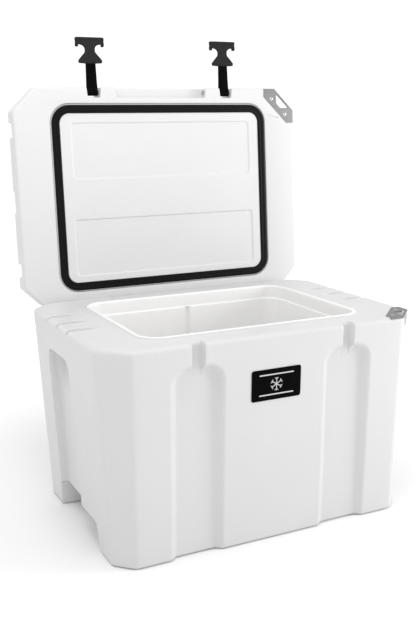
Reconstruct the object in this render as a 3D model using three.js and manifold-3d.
// A rotomoulded cooler chest: a double-walled tub with a foam core, a hinged lid held open,
// two rubber T-latches, stainless lock plates and a screw-in drain plug.
//
// Units are millimetres and +Z is up. The front of the chest faces -Y and it stands on Z = 0.
// The lid's pieces are drawn as if the lid were shut, then turned open about the hinge line.

import * as THREE from 'three';
import { mergeVertices } from 'three/addons/utils/BufferGeometryUtils.js';
import Module from 'manifold-3d';

const wasm = await Module();
wasm.setup();

// ---------------------------------------------------------------- driving dimensions

const SKIN = 5;        // wall thickness of every moulded skin
const GAP = 0.3;       // clearance between pieces that touch
const OVER = 12;       // how far a cutter runs past the face that it cuts
const LAP = 1;         // how far two joined shapes run into each other
const ROUND = 24;      // sides of a round piece

const TUB = {
  halfWidth: 340, front: -232.5, back: 232.5, rim: 413, base: 2,
  draftX: 22.4, draftY: 13.1,                     // how much narrower each side is at the floor
  frontChamfer: { rim: 50, floor: 34 },
  backChamfer: { rim: 40, floor: 34 },
};

const LINER = {
  halfWidth: 232, front: -164, back: 172, radius: 38,   // inside of the opening, at the rim
  floor: 50, draft: 13, lipWidth: 8, lipHeight: 2.5,
};

const FRONT_CHANNEL = {
  centre: 160, halfWidth: 46.5, top: 366, shoulder: 28, depth: 15, slope: 9, lean: 8,
};
const SIDE_CHANNEL = {
  centre: 40, halfWidth: 63.5, top: 348, shoulder: 26, depth: 16, slope: 7, lean: 20,
};
const GRIP = { halfWidth: 52, low: 296, high: 364, depth: 34, lip: 13 };
const LATCH_SLOT = { halfWidth: 12.3, depth: 16, low: 350 };
const RIM_GROOVES = { places: [-35, 28, 91], inner: 290, width: 10, depth: 4 };
const BASE_NOTCH = { depth: 58, front: -118, back: 112, height: 55, draft: 7 };
const UNDERSIDE = { halfWidth: 205, halfDepth: 120, height: 12, draft: 8 };
const FOOT_PAD = { x: 284, y: 178, radius: 19, thickness: 4, sunk: 2 };

const LID = {
  lift: 3,             // gap between the rim and the lid, filled by the gasket
  thickness: 50, bevel: 9, bevelRun: 8,
  frontChamfer: 50, backChamfer: 40,
  openAngle: 94,       // degrees from shut
  panelDepth: 2, panelRadius: 8,
};
LID.low = TUB.rim + LID.lift;
LID.high = LID.low + LID.thickness;

const LID_PANELS = [
  { halfWidth: 217, front: -157, back: -38 },
  { halfWidth: 220, front: 50, back: 172 },
];
const STRAP_CHANNELS = [
  { y: -145, width: 31, depth: 6 },
  { y: 6, width: 46, depth: 2.5 },
  { y: 154, width: 28, depth: 6 },
];
const STRAP_CHANNEL_FOOT = 16;    // height above the lid's inner face where a side notch begins
const FINGER_POCKET = { halfWidth: 108, depth: 21.5, height: 22 };
const LATCH_RECESS = { halfWidth: 15, depth: 21.5 };

const GASKET = { inset: 81.5, front: -195, back: 204, width: 17.5, radius: 40, thickness: 4.7, sunk: 2.5 };

const HINGE = {
  y: 232.5, z: 402.3, barrel: 9, rod: 4, bush: 6,
  centre: 190, lidHalfLength: 40, tubLength: 28, gap: 1, webBack: 8.5, webUp: 30, webDown: 34, room: 2,
};

const LATCH = {
  centre: 160, pinY: -222.5, pinHeight: 12, pinRadius: 3, eyeRadius: 7.5, thickness: 8,
  pinHeadRadius: 5, pinHead: 2.5, pinBlind: 184, socketWall: 3,
  strapHalf: [12.5, 10.8], hook: 60.7, hookHalf: 27, hookTip: 66, hookEnd: 79,
  neckHalf: 9, head: 96.5, end: 115, headHalf: 32, round: 6, ease: 2, swell: 1,
};
LATCH.pinZ = LID.low + LATCH.pinHeight;

// The lock plates lie across the front right corner. A point on a plate is given by how far it is
// along the plate and how far it is from the chest's sharp corner.
const PLATE = {
  thickness: 3, screwAlong: 25.5, screwFrom: 58.7, screwHead: 4.6, headDepth: 2.6, screwShank: 2.1,
  screwLength: 14,
  cornerCut: 72, notchHalf: 19, notchFrom: 57.5, notchHeight: 24,
  outline: [[-43, 71], [-56, 56.8], [-35.4, 36.1], [35.4, 36.1], [56, 56.8], [43, 71]],
  hole: [[-20.5, 40.5], [20.5, 40.5], [20.5, 44], [7.5, 56.5], [-7.5, 56.5], [-20.5, 44]],
};

const BADGE = { halfWidth: 53, low: 286, high: 346.5, thickness: 1.6, radius: 5, clear: 0.4 };

const DRAIN = {
  y: -75, z: 74, recess: 27, recessDepth: 17, tube: 12, bore: 8, flange: 20, flangeThickness: 3,
  cap: 17, capThickness: 9, stem: 7.4, stemLength: 34, ring: 12.5, ringThickness: 2, seal: 10.5,
  grooves: 8, groove: 2.5,
};
DRAIN.flangeFace = TUB.halfWidth - TUB.draftX - DRAIN.recessDepth + GAP;
DRAIN.sealFace = DRAIN.flangeFace + DRAIN.flangeThickness + GAP;
DRAIN.ringFace = DRAIN.sealFace + DRAIN.ringThickness + GAP;
DRAIN.capFace = DRAIN.ringFace + DRAIN.ringThickness + GAP;

const FILL_PLUG = { radius: 12 };

// ---------------------------------------------------------------- solids and outlines

/** A closed three.js geometry as a manifold solid. */
function solid(geometry) {
  const bare = geometry.clone();
  bare.deleteAttribute('normal');
  bare.deleteAttribute('uv');
  const merged = mergeVertices(bare, 1e-4);
  return new wasm.Manifold(new wasm.Mesh({
    numProp: 3,
    vertProperties: new Float32Array(merged.attributes.position.array),
    triVerts: new Uint32Array(merged.index.array),
  }));
}

/** A manifold solid as a three.js geometry. */
function geometryOf(shape) {
  const mesh = shape.getMesh();
  const geometry = new THREE.BufferGeometry();
  geometry.setAttribute('position', new THREE.BufferAttribute(new Float32Array(mesh.vertProperties), 3));
  geometry.setIndex(new THREE.BufferAttribute(new Uint32Array(mesh.triVerts), 1));
  geometry.computeVertexNormals();
  return geometry;
}

const join = (shapes) => shapes.reduce((whole, next) => whole.add(next));
const cut = (shape, cutters) => cutters.reduce((rest, cutter) => rest.subtract(cutter), shape);

/** A solid block between two limits on each axis. */
function block([x0, x1], [y0, y1], [z0, z1]) {
  const box = new THREE.BoxGeometry(x1 - x0, y1 - y0, z1 - z0);
  return solid(box.translate((x0 + x1) / 2, (y0 + y1) / 2, (z0 + z1) / 2));
}

/** A round bar along X from x0 to x1. */
function barX(radius, x0, x1, y, z) {
  const bar = new THREE.CylinderGeometry(radius, radius, x1 - x0, ROUND);
  return solid(bar.rotateZ(Math.PI / 2).translate((x0 + x1) / 2, y, z));
}

/** A round bar along Z from z0 to z1. */
function barZ(radius, z0, z1, x, y) {
  const bar = new THREE.CylinderGeometry(radius, radius, z1 - z0, ROUND);
  return solid(bar.rotateX(Math.PI / 2).translate(x, y, (z0 + z1) / 2));
}

/** Moves every edge of a counter-clockwise outline outwards by a distance. */
function grow(points, distance) {
  const count = points.length;
  return points.map((point, i) => {
    const before = points[(i + count - 1) % count];
    const after = points[(i + 1) % count];
    const a = new THREE.Vector2(point[0] - before[0], point[1] - before[1]).normalize();
    const b = new THREE.Vector2(after[0] - point[0], after[1] - point[1]).normalize();
    const normal = new THREE.Vector2(a.y + b.y, -a.x - b.x);
    const reach = distance / (1 + a.dot(b));
    return [point[0] + normal.x * reach, point[1] + normal.y * reach];
  });
}

/** A solid whose section changes evenly from one outline to another with as many points. */
function loft(lower, upper, low, high) {
  const shape = new THREE.Shape(upper.map(([x, y]) => new THREE.Vector2(x, y)));
  const geometry = new THREE.ExtrudeGeometry(shape, { depth: high - low, bevelEnabled: false });
  const position = geometry.attributes.position;
  for (let i = 0; i < position.count; i += 1) {
    if (position.getZ(i) < (high - low) / 2) {
      const nearest = upper.reduce((best, [x, y], k) => {
        const distance = Math.hypot(x - position.getX(i), y - position.getY(i));
        return distance < best.distance ? { distance, k } : best;
      }, { distance: Infinity, k: 0 });
      position.setXY(i, lower[nearest.k][0], lower[nearest.k][1]);
    }
  }
  return solid(geometry.translate(0, 0, low));
}

const prism = (outline, low, high) => loft(outline, outline, low, high);

/** A rectangle with its corners cut off: the outline of the tub and of the lid. */
function octagon(halfWidth, front, back, frontChamfer, backChamfer) {
  return [
    [-halfWidth + frontChamfer, front], [halfWidth - frontChamfer, front],
    [halfWidth, front + frontChamfer], [halfWidth, back - backChamfer],
    [halfWidth - backChamfer, back], [-halfWidth + backChamfer, back],
    [-halfWidth, back - backChamfer], [-halfWidth, front + frontChamfer],
  ];
}

/** A rectangle with round corners, five steps to a quarter turn. */
function roundedRectangle(halfWidth, front, back, radius) {
  const steps = 5;
  const low = front + radius;
  const high = back - radius;
  const centres = [[1, low, -1], [1, high, 0], [-1, high, 1], [-1, low, 2]];
  return centres.flatMap(([side, y, quarter]) => Array.from({ length: steps + 1 }, (_, i) => {
    const angle = (quarter + i / steps) * Math.PI / 2;
    return [side * (halfWidth - radius) + radius * Math.cos(angle), y + radius * Math.sin(angle)];
  }));
}

// ---------------------------------------------------------------- cutters

/** A channel's outline seen from the front: straight sides and a top with round shoulders. */
function arch(halfWidth, top, shoulder) {
  const steps = 5;
  const right = Array.from({ length: steps + 1 }, (_, i) => {
    const angle = (i / steps) * Math.PI / 2;
    return [halfWidth - shoulder * (1 - Math.cos(angle)), top - shoulder * (1 - Math.sin(angle))];
  });
  const left = right.map(([x, z]) => [-x, z]).reverse();
  return [[-halfWidth, -OVER], [halfWidth, -OVER], ...right, ...left];
}

/** Turns a shape drawn facing +Z with its top at +Y so that it faces -Y with its top at +Z,
 *  and leans it back below the rim as the drafted wall does. */
function stand(shape, lean) {
  const slope = lean / TUB.rim;
  return shape.rotate([90, 0, 0]).warp((point) => {
    point[1] += slope * (TUB.rim - point[2]);
  });
}

/** A channel with sloping sides, for a face that looks to -Y from Y = 0 at the rim. */
function channel({ halfWidth, top, shoulder, depth, slope, lean }, wall) {
  const floor = arch(halfWidth - slope + wall, top - slope + wall, shoulder);
  const mouth = arch(halfWidth + slope + wall, top + slope + wall, shoulder);
  return stand(loft(floor, mouth, -depth - wall, depth - wall), lean);
}

const onSide = (shape, side) => shape.rotate([0, 0, side * 90]).translate([side * TUB.halfWidth, 0, 0]);

function frontChannels(wall) {
  return [-1, 1].map((side) => channel(FRONT_CHANNEL, wall)
    .translate([side * FRONT_CHANNEL.centre, TUB.front, 0]));
}

function sideChannels(wall) {
  return [-1, 1].map((side) => onSide(
    channel(SIDE_CHANNEL, wall).translate([side * SIDE_CHANNEL.centre, 0, 0]), side));
}

/** The finger room behind the lip at the top of each side channel. */
function grips(wall) {
  const { halfWidth, low, high, depth, lip } = GRIP;
  return [-1, 1].map((side) => {
    const centre = side * SIDE_CHANNEL.centre;
    const room = block([centre - halfWidth - wall, centre + halfWidth + wall], [lip - wall, depth + wall],
      [low - wall, high + wall]);
    return onSide(room, side);
  });
}

/** The slots in the rim that the latches' straps drop into. */
function latchSlots(wall) {
  const { halfWidth, depth, low } = LATCH_SLOT;
  return [-1, 1].map((side) => {
    const centre = side * FRONT_CHANNEL.centre;
    return block([centre - halfWidth - wall, centre + halfWidth + wall],
      [TUB.front - OVER, TUB.front + depth + wall], [low, TUB.rim + OVER]);
  });
}

/** Three short grooves across the rim at each side. */
function rimGrooves(wall) {
  const { places, inner, width, depth } = RIM_GROOVES;
  return [-1, 1].flatMap((side) => places.map((y) => {
    const across = [side * (inner - wall), side * (TUB.halfWidth + OVER)].sort((a, b) => a - b);
    const along = [y - width / 2 - wall, y + width / 2 + wall];
    return block(across, along, [TUB.rim - depth - wall, TUB.rim + OVER]);
  }));
}

/** The hand room under each side of the base, which leaves a foot at each corner. */
function baseNotches(wall) {
  const { depth, front, back, height, draft } = BASE_NOTCH;
  const inner = TUB.halfWidth - TUB.draftX - depth - wall;
  return [-1, 1].map((side) => {
    const rectangle = (y0, y1) => {
      const across = [side * inner, side * (TUB.halfWidth + OVER)].sort((a, b) => a - b);
      return [[across[0], y0], [across[1], y0], [across[1], y1], [across[0], y1]];
    };
    return loft(rectangle(front - wall, back + wall), rectangle(front + draft - wall, back - draft + wall),
      -OVER, height + wall);
  });
}

function undersideRecess(wall) {
  const { halfWidth, halfDepth, height, draft } = UNDERSIDE;
  const outline = (d) => octagon(halfWidth + d, -halfDepth - d, halfDepth + d, draft * 2, draft * 2);
  return loft(outline(wall), outline(wall - draft), -OVER, height + wall);
}

/** Pockets in the tub's back edge that the lid's hinge knuckles turn in. */
function hingeNotches(wall) {
  const reach = HINGE.barrel + HINGE.room + wall;
  return [-1, 1].map((side) => block(
    [side * HINGE.centre - HINGE.lidHalfLength - HINGE.gap - wall,
      side * HINGE.centre + HINGE.lidHalfLength + HINGE.gap + wall],
    [HINGE.y - reach, HINGE.y + OVER * 2], [HINGE.z - reach, TUB.rim + OVER]));
}

function drainRecess(wall) {
  return barX(DRAIN.recess + wall, TUB.halfWidth - TUB.draftX - DRAIN.recessDepth - wall,
    TUB.halfWidth + OVER, DRAIN.y, DRAIN.z);
}

/** A point on the lock corner from its place along the plate and its distance from the corner. */
function cornerPoint([along, from]) {
  return [TUB.halfWidth + (along - from) * Math.SQRT1_2, TUB.front + (along + from) * Math.SQRT1_2];
}

/** The slot in the lock corner's face that lets a padlock pass through the plates. */
function lockNotch(wall, low, high) {
  const { notchHalf, notchFrom } = PLATE;
  const half = notchHalf + wall;
  const notch = [[-half, 0], [half, 0], [half, notchFrom + wall], [-half, notchFrom + wall]];
  return prism(notch.map(cornerPoint), low, high);
}

/** The lid's lock corner cut back flat, so that its plate reaches out past the plastic. */
function lockCorner(wall) {
  const reach = PLATE.cornerCut * Math.SQRT1_2 + wall;
  const corner = [[-2 * reach, -reach], [2 * reach, -reach], [2 * reach, reach], [-2 * reach, reach]];
  return prism(corner.map(cornerPoint), LID.low - OVER, LID.high + OVER);
}

// ---------------------------------------------------------------- tub

function tubOutline(z, inset) {
  const fall = 1 - z / TUB.rim;
  const between = ({ rim, floor }) => rim + (floor - rim) * fall;
  const outline = octagon(TUB.halfWidth - TUB.draftX * fall, TUB.front + TUB.draftY * fall,
    TUB.back - TUB.draftY * fall, between(TUB.frontChamfer), between(TUB.backChamfer));
  return grow(outline, -inset);
}

/** The tub's outside as a full block, drawn a wall's thickness smaller all over. */
function tubForm(wall) {
  const low = TUB.base + wall;
  const high = TUB.rim - wall;
  return cut(loft(tubOutline(low, wall), tubOutline(high, wall), low, high), [
    ...frontChannels(wall), ...sideChannels(wall), ...grips(wall), ...latchSlots(wall),
    ...rimGrooves(wall), ...baseNotches(wall), undersideRecess(wall), ...hingeNotches(wall),
    drainRecess(wall), lockNotch(wall, TUB.rim - PLATE.notchHeight - wall, TUB.rim + OVER),
  ]);
}

function linerOutline(shrink) {
  return roundedRectangle(LINER.halfWidth - shrink, LINER.front + shrink, LINER.back - shrink,
    LINER.radius - shrink / 2);
}

/** The inside of the tub as a block, grown by a wall's thickness. */
function cavity(wall, high) {
  return loft(grow(linerOutline(LINER.draft), wall), grow(linerOutline(0), wall), LINER.floor - wall, high);
}

/** Half of each hinge that belongs to the tub: a knuckle at each end of the rod. */
function tubKnuckles(extra) {
  return [-1, 1].flatMap((side) => [-1, 1].map((end) => {
    const near = HINGE.lidHalfLength + HINGE.gap - extra;
    const far = near + HINGE.tubLength + 2 * extra;
    const span = [near, far].map((x) => side * HINGE.centre + end * x).sort((a, b) => a - b);
    const web = block(span, [HINGE.y - SKIN + GAP, HINGE.y + HINGE.webBack],
      [HINGE.z - HINGE.webDown, HINGE.z]);
    return barX(HINGE.barrel + extra, ...span, HINGE.y, HINGE.z).add(web);
  }));
}

function rodHoles(radius) {
  const half = HINGE.lidHalfLength + HINGE.gap + HINGE.tubLength + OVER;
  return [-1, 1].map((side) => {
    const centre = side * HINGE.centre;
    return barX(radius, centre - half, centre + half, HINGE.y, HINGE.z);
  });
}

function screwPlaces() {
  return [-1, 1].map((side) => cornerPoint([side * PLATE.screwAlong, PLATE.screwFrom]));
}

/** Holes for the plate screws, along Z between two heights. */
function screwHoles(low, high) {
  return screwPlaces().map(([x, y]) => barZ(PLATE.screwShank + GAP, low, high, x, y));
}

/** The lock plate's outline, which is the lid's corner with the inner part taken off. */
function plateOutline() {
  return PLATE.outline.map(cornerPoint);
}

function footPlaces() {
  return [['front_left', -1, -1], ['front_right', 1, -1], ['back_left', -1, 1], ['back_right', 1, 1]];
}

function tubOuterSkin() {
  const rimHole = prism(grow(linerOutline(0), SKIN + GAP), TUB.rim - SKIN - OVER, TUB.rim + OVER);
  const shell = join([tubForm(0).subtract(tubForm(SKIN)), ...tubKnuckles(0)]);
  const plateSeat = prism(grow(plateOutline(), GAP), TUB.rim - PLATE.thickness - GAP, TUB.rim + OVER);
  const padSeats = footPlaces().map(([, x, y]) => barZ(FOOT_PAD.radius + GAP, -OVER,
    TUB.base + FOOT_PAD.sunk + GAP, x * FOOT_PAD.x, y * FOOT_PAD.y));
  return cut(shell, [
    rimHole, plateSeat, ...padSeats, ...rodHoles(HINGE.rod + GAP),
    ...screwHoles(TUB.rim - PLATE.screwLength - GAP, TUB.rim + OVER),
    barX(DRAIN.tube + GAP, LINER.halfWidth, TUB.halfWidth, DRAIN.y, DRAIN.z),
    barZ(FILL_PLUG.radius + GAP, -OVER, UNDERSIDE.height + SKIN + OVER, 0, 0),
  ]);
}

function tubLiner() {
  const high = TUB.rim + LINER.lipHeight;
  const lip = prism(grow(linerOutline(0), LINER.lipWidth), TUB.rim + GAP, high);
  const hole = cavity(0, high).add(prism(linerOutline(0), TUB.rim - OVER, high + OVER));
  const inner = LINER.halfWidth - LINER.draft - OVER;
  const drain = barX(DRAIN.tube + GAP, inner, TUB.halfWidth, DRAIN.y, DRAIN.z);
  return cut(join([cavity(SKIN, high), lip]), [hole, drain]);
}

function tubFoam() {
  const inside = cavity(SKIN + GAP, TUB.rim - SKIN - GAP)
    .add(prism(grow(linerOutline(0), SKIN + GAP), TUB.rim - SKIN - OVER, TUB.rim));
  return cut(tubForm(SKIN + GAP), [
    inside, ...tubKnuckles(GAP), ...screwHoles(TUB.rim - PLATE.screwLength - GAP, TUB.rim),
    barX(DRAIN.tube + GAP, 0, TUB.halfWidth, DRAIN.y, DRAIN.z),
  ]);
}

/** A lock plate with its bottle-opener hole and countersunk screw holes, facing up from z. */
function lockPlate(low, facesUp) {
  const high = low + PLATE.thickness;
  const hole = prism(PLATE.hole.map(cornerPoint), low - OVER, high + OVER);
  const sinks = screwPlaces().map(([x, y]) => (
    countersink(GAP, facesUp).translate([x, y, facesUp ? high : low])));
  return cut(prism(plateOutline(), low, high), [hole, ...sinks]);
}

/** A countersunk screw whose flat head ends at Z = 0. */
function countersink(extra, facesUp) {
  const { screwHead, headDepth, screwShank, screwLength } = PLATE;
  const profile = [[0, extra], [screwHead + extra, extra], [screwHead + extra, 0],
    [screwShank + extra, -headDepth], [screwShank + extra, -screwLength - extra],
    [0, -screwLength - extra]];
  const points = profile.map(([r, z]) => new THREE.Vector2(r, z)).reverse();
  const screw = solid(new THREE.LatheGeometry(points, ROUND)).rotate([90, 0, 0]);
  return facesUp ? screw : screw.rotate([180, 0, 0]);
}

function badgePlate() {
  const tilt = Math.atan(TUB.draftY / TUB.rim);
  const height = BADGE.high - BADGE.low;
  const middle = (BADGE.high + BADGE.low) / 2;
  const face = TUB.front + TUB.draftY * (1 - middle / TUB.rim);
  const plate = roundedRectangle(BADGE.halfWidth, -height / 2, height / 2, BADGE.radius);
  return prism(plate, 0, BADGE.thickness).rotate([90 + THREE.MathUtils.radToDeg(tilt), 0, 0])
    .translate([0, face - BADGE.clear, middle]);
}

// ---------------------------------------------------------------- drain

function drainBushing() {
  const { flangeFace, flangeThickness } = DRAIN;
  const inner = LINER.halfWidth - LINER.draft;
  const tube = barX(DRAIN.tube, inner, flangeFace + flangeThickness, DRAIN.y, DRAIN.z);
  const flange = barX(DRAIN.flange, flangeFace, flangeFace + flangeThickness, DRAIN.y, DRAIN.z);
  return tube.add(flange).subtract(barX(DRAIN.bore, 0, TUB.halfWidth, DRAIN.y, DRAIN.z));
}

/** A flat ring round the plug's stem. */
function stemRing(radius, start) {
  const ring = barX(radius, start, start + DRAIN.ringThickness, DRAIN.y, DRAIN.z);
  return ring.subtract(barX(DRAIN.stem + GAP, 0, TUB.halfWidth, DRAIN.y, DRAIN.z));
}

function drainPlug() {
  const { capFace, capThickness, cap, groove, y, z } = DRAIN;
  const grooves = Array.from({ length: DRAIN.grooves }, (_, i) => {
    const angle = (i / DRAIN.grooves) * 2 * Math.PI;
    return barX(groove, capFace - OVER, capFace + capThickness + OVER,
      y + cap * Math.cos(angle), z + cap * Math.sin(angle));
  });
  const knob = cut(barX(cap, capFace, capFace + capThickness, y, z), grooves);
  return knob.add(barX(DRAIN.stem, capFace - DRAIN.stemLength, capFace + LAP, y, z));
}

// ---------------------------------------------------------------- lid

const lidOutline = (inset) => grow(
  octagon(TUB.halfWidth, TUB.front, TUB.back, LID.frontChamfer, LID.backChamfer), -inset);

/** Channels across the lid's top for tie-down straps, running down its side faces. */
function strapChannels(wall) {
  return STRAP_CHANNELS.flatMap(({ y, width, depth }) => {
    const along = [y - width / 2 - wall, y + width / 2 + wall];
    const across = TUB.halfWidth + OVER;
    const top = block([-across, across], along, [LID.high - depth - wall, LID.high + OVER]);
    const sides = [-1, 1].map((side) => {
      const span = [side * (TUB.halfWidth - depth - wall), side * across].sort((a, b) => a - b);
      return block(span, along, [LID.low + STRAP_CHANNEL_FOOT - wall, LID.high + OVER]);
    });
    return [top, ...sides];
  });
}

/** The recess in the lid's front edge that fingers lift it by. */
function fingerPocket(wall) {
  const { halfWidth, depth, height } = FINGER_POCKET;
  return block([-halfWidth - wall, halfWidth + wall], [TUB.front - OVER, TUB.front + depth + wall],
    [LID.low - OVER, LID.low + height + wall]);
}

function latchRecesses(wall) {
  const { halfWidth, depth } = LATCH_RECESS;
  return [-1, 1].map((side) => block(
    [side * LATCH.centre - halfWidth - wall, side * LATCH.centre + halfWidth + wall],
    [TUB.front - OVER, TUB.front + depth + wall], [LID.low - OVER, LID.high + OVER]));
}

/** The lid's outside as a full block, drawn a wall's thickness smaller, from a given height up. */
function lidForm(wall, low) {
  const bevelStart = LID.high - LID.bevel;
  const top = LID.high - wall;
  const side = prism(lidOutline(wall), low, bevelStart);
  const bevel = loft(lidOutline(wall), lidOutline(wall + LID.bevelRun), bevelStart, top);
  return cut(side.add(bevel), [
    ...strapChannels(wall), fingerPocket(wall), ...latchRecesses(wall),
    lockCorner(wall), lockNotch(wall, LID.low - OVER, LID.high + OVER),
  ]);
}

/** Half of each hinge that belongs to the lid: one long knuckle. */
function lidKnuckles() {
  return [-1, 1].map((side) => {
    const span = [side * HINGE.centre - HINGE.lidHalfLength, side * HINGE.centre + HINGE.lidHalfLength];
    const web = block(span, [HINGE.y - SKIN + GAP, HINGE.y + HINGE.webBack],
      [HINGE.z, LID.low + HINGE.webUp]);
    return barX(HINGE.barrel, ...span, HINGE.y, HINGE.z).add(web);
  });
}

/** Holes for the latch pins, from the finger pocket's end wall to a blind end. */
function pinHoles() {
  return [-1, 1].map((side) => {
    const ends = [FINGER_POCKET.halfWidth - LAP, LATCH.pinBlind + GAP];
    const span = ends.map((x) => side * x).sort((a, b) => a - b);
    return barX(LATCH.pinRadius + GAP, ...span, LATCH.pinY, LATCH.pinZ);
  });
}

/** Moulded sockets round the blind ends of the latch pins. */
function pinSockets(extra) {
  return [-1, 1].map((side) => {
    const inner = LATCH.centre + LATCH_RECESS.halfWidth + LAP;
    const outer = LATCH.pinBlind + LATCH.socketWall + extra;
    const span = [side * inner, side * outer].sort((a, b) => a - b);
    return barX(LATCH.pinRadius + LATCH.socketWall + extra, ...span, LATCH.pinY, LATCH.pinZ);
  });
}

function lidTopSkin() {
  const shell = join([
    lidForm(0, LID.low).subtract(lidForm(SKIN, LID.low - OVER)), ...lidKnuckles(), ...pinSockets(0)]);
  const plateSeat = prism(grow(plateOutline(), GAP), LID.low - OVER, LID.low + PLATE.thickness + 2 * GAP);
  return cut(shell, [
    ...rodHoles(HINGE.bush + GAP), ...pinHoles(), plateSeat,
    ...screwHoles(LID.low, LID.low + PLATE.screwLength + 2 * GAP),
    fillHole(GAP),
  ]);
}

const gasketOutline = (extra) => grow(
  roundedRectangle(TUB.halfWidth - GASKET.inset, GASKET.front, GASKET.back, GASKET.radius), extra);

/** The gasket's ring, grown by a clearance, between two heights. */
function gasketRing(extra, low, high) {
  const outer = prism(gasketOutline(extra), low, high);
  return outer.subtract(prism(gasketOutline(-GASKET.width - extra), low - OVER, high + OVER));
}

function lidInnerSkin() {
  const plate = lidForm(SKIN + GAP, LID.low).intersect(
    block([-TUB.halfWidth, TUB.halfWidth], [TUB.front, TUB.back], [LID.low - OVER, LID.low + SKIN]));
  const panels = LID_PANELS.map(({ halfWidth, front, back }) => {
    const outline = roundedRectangle(halfWidth, front, back, LID.panelRadius);
    return loft(grow(outline, LID.panelDepth), grow(outline, -LID.panelDepth),
      LID.low - LID.panelDepth, LID.low + LID.panelDepth);
  });
  const plateSeat = prism(grow(plateOutline(), GAP), LID.low - OVER, LID.low + PLATE.thickness + 2 * GAP);
  return cut(plate, [
    ...panels, gasketRing(GAP, LID.low - OVER, LID.low + GASKET.sunk), plateSeat,
    ...screwHoles(LID.low, LID.high), ...pinSockets(GAP),
  ]);
}

function lidFoam() {
  return cut(lidForm(SKIN + GAP, LID.low + SKIN + GAP), [
    ...pinSockets(GAP), ...pinHoles(), ...screwHoles(LID.low, LID.low + PLATE.screwLength + 3 * GAP),
  ]);
}

function fillHole(extra) {
  const radius = FILL_PLUG.radius + extra;
  const bar = new THREE.CylinderGeometry(radius, radius, SKIN * 3, ROUND);
  return solid(bar.translate(0, TUB.back, LID.low + LID.thickness / 2));
}

function lidFillPlug() {
  const slab = block([-TUB.halfWidth, TUB.halfWidth], [TUB.back - SKIN + GAP, TUB.back - GAP],
    [LID.low, LID.high]);
  return fillHole(0).intersect(slab);
}

// ---------------------------------------------------------------- latches

/** A rubber T-latch lying flat and pointing away from its pin along -Y, which is at the origin. */
function latch() {
  const { strapHalf, hook, hookHalf, hookTip, hookEnd, neckHalf, head, end, headHalf, round, ease } = LATCH;
  const right = [
    [strapHalf[0], 0], [strapHalf[1], hook], [hookHalf - ease, hook], [hookHalf, hook + ease],
    [hookHalf, hookTip], [neckHalf + ease, hookEnd], [neckHalf, hookEnd + 2 * ease],
    [neckHalf, head - ease], [neckHalf + ease, head],
    [headHalf - round / 2, head], [headHalf, head + round / 2], [headHalf, end - round / 2],
    [headHalf - round / 2, end],
  ];
  const left = right.map(([x, r]) => [-x, r]).reverse();
  const outline = [...right, ...left].map(([x, r]) => [x, -r]).reverse();
  const half = LATCH.thickness / 2;
  const flat = prism(outline, -half, half);
  const bar = block([-headHalf + ease, headHalf - ease], [-end + ease, -head - ease],
    [-half - LATCH.swell, half + LATCH.swell]);
  const eye = barX(LATCH.eyeRadius, -strapHalf[0], strapHalf[0], 0, 0);
  return join([flat, bar, eye]).subtract(barX(LATCH.pinRadius + GAP, -headHalf, headHalf, 0, 0));
}

function latchPin(side) {
  const headStart = side * (FINGER_POCKET.halfWidth - GAP);
  const shank = [headStart, side * LATCH.pinBlind].sort((a, b) => a - b);
  const head = [headStart - side * LATCH.pinHead, headStart].sort((a, b) => a - b);
  return barX(LATCH.pinRadius, ...shank, LATCH.pinY, LATCH.pinZ)
    .add(barX(LATCH.pinHeadRadius, ...head, LATCH.pinY, LATCH.pinZ));
}

// ---------------------------------------------------------------- finishes

const finish = (color, roughness, metalness = 0) => () => (
  new THREE.MeshStandardMaterial({ color, roughness, metalness }));
const whitePlastic = finish(0xe9e9e7, 0.5);
const whiteLiner = finish(0xefefec, 0.45);
const foamFill = finish(0xe8dfb8, 0.95);
const blackRubber = finish(0x151516, 0.6);
const greyRubber = finish(0x2b2b2d, 0.8);
const brushedSteel = finish(0xb4b5b4, 0.35, 1);
const polishedSteel = finish(0xc8c9ca, 0.2, 1);
const blackPlate = finish(0x0d0d0e, 0.35);
const nylon = finish(0xd9d8d2, 0.6);

// ---------------------------------------------------------------- assembly

const tub = new THREE.Group();
const lid = new THREE.Group();
lid.position.set(0, HINGE.y, HINGE.z);
lid.rotation.x = -THREE.MathUtils.degToRad(LID.openAngle);

function addTo(group, name, shape, material, place = [0, 0, 0]) {
  const mesh = new THREE.Mesh(geometryOf(shape), material());
  mesh.name = name;
  mesh.position.set(...place);
  group.add(mesh);
}

const addToTub = (name, shape, material) => addTo(tub, name, shape, material);
const addToLid = (name, shape, material, [x, y, z] = [0, 0, 0]) => addTo(
  lid, name, shape, material, [x, y - HINGE.y, z - HINGE.z]);

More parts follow.
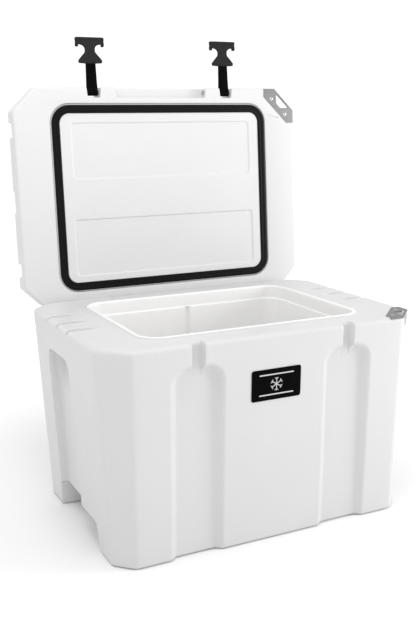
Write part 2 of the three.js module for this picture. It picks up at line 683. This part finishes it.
addToTub('tub_outer_skin', tubOuterSkin(), whitePlastic);
addToTub('tub_liner', tubLiner(), whiteLiner);
addToTub('tub_foam', tubFoam(), foamFill);
addToTub('tub_lock_plate', lockPlate(TUB.rim - PLATE.thickness, true), brushedSteel);
screwPlaces().forEach(([x, y], i) => {
  addToTub(`tub_plate_screw_${i + 1}`, countersink(0, true).translate([x, y, TUB.rim]), polishedSteel);
});
addToTub('badge_plate', badgePlate(), blackPlate);
footPlaces().forEach(([name, x, y]) => {
  const pad = barZ(FOOT_PAD.radius, 0, FOOT_PAD.thickness, x * FOOT_PAD.x, y * FOOT_PAD.y);
  addToTub(`foot_pad_${name}`, pad, greyRubber);
});
addToTub('tub_fill_plug',
  barZ(FILL_PLUG.radius, UNDERSIDE.height + GAP, UNDERSIDE.height + SKIN - GAP, 0, 0), whitePlastic);
addToTub('drain_bushing', drainBushing(), nylon);
addToTub('drain_seal', stemRing(DRAIN.seal, DRAIN.sealFace), blackRubber);
addToTub('drain_ring', stemRing(DRAIN.ring, DRAIN.ringFace), greyRubber);
addToTub('drain_plug', drainPlug(), whitePlastic);

[['left', -1], ['right', 1]].forEach(([name, side]) => {
  const centre = side * HINGE.centre;
  const rodHalf = HINGE.lidHalfLength + HINGE.gap + HINGE.tubLength;
  const rod = barX(HINGE.rod, centre - rodHalf, centre + rodHalf, HINGE.y, HINGE.z);
  addToTub(`hinge_rod_${name}`, rod, polishedSteel);
  const bushSpan = [centre - HINGE.lidHalfLength, centre + HINGE.lidHalfLength];
  const bush = barX(HINGE.bush, ...bushSpan, HINGE.y, HINGE.z)
    .subtract(barX(HINGE.rod + GAP, centre - rodHalf, centre + rodHalf, HINGE.y, HINGE.z));
  addToLid(`hinge_bush_${name}`, bush, nylon);
  addToLid(`latch_pin_${name}`, latchPin(side), polishedSteel);
  addToLid(`latch_${name}`, latch(), blackRubber, [side * LATCH.centre, LATCH.pinY, LATCH.pinZ]);
});

addToLid('lid_top_skin', lidTopSkin(), whitePlastic);
addToLid('lid_inner_skin', lidInnerSkin(), whitePlastic);
addToLid('lid_foam', lidFoam(), foamFill);
const gasketTop = LID.low + GASKET.sunk;
addToLid('lid_gasket', gasketRing(0, gasketTop - GASKET.thickness, gasketTop - GAP), blackRubber);
addToLid('lid_lock_plate', lockPlate(LID.low + GAP, false), brushedSteel);
screwPlaces().forEach(([x, y], i) => {
  const screw = countersink(0, false).translate([x, y, LID.low + GAP]);
  addToLid(`lid_plate_screw_${i + 1}`, screw, polishedSteel);
});
addToLid('lid_fill_plug', lidFillPlug(), whitePlastic);

// The origin is on the ground under the middle of the open chest.
const cooler = new THREE.Group();
cooler.add(tub, lid);
const extent = new THREE.Box3().setFromObject(cooler, true);
cooler.position.y = -(extent.min.y + extent.max.y) / 2;

export default cooler;
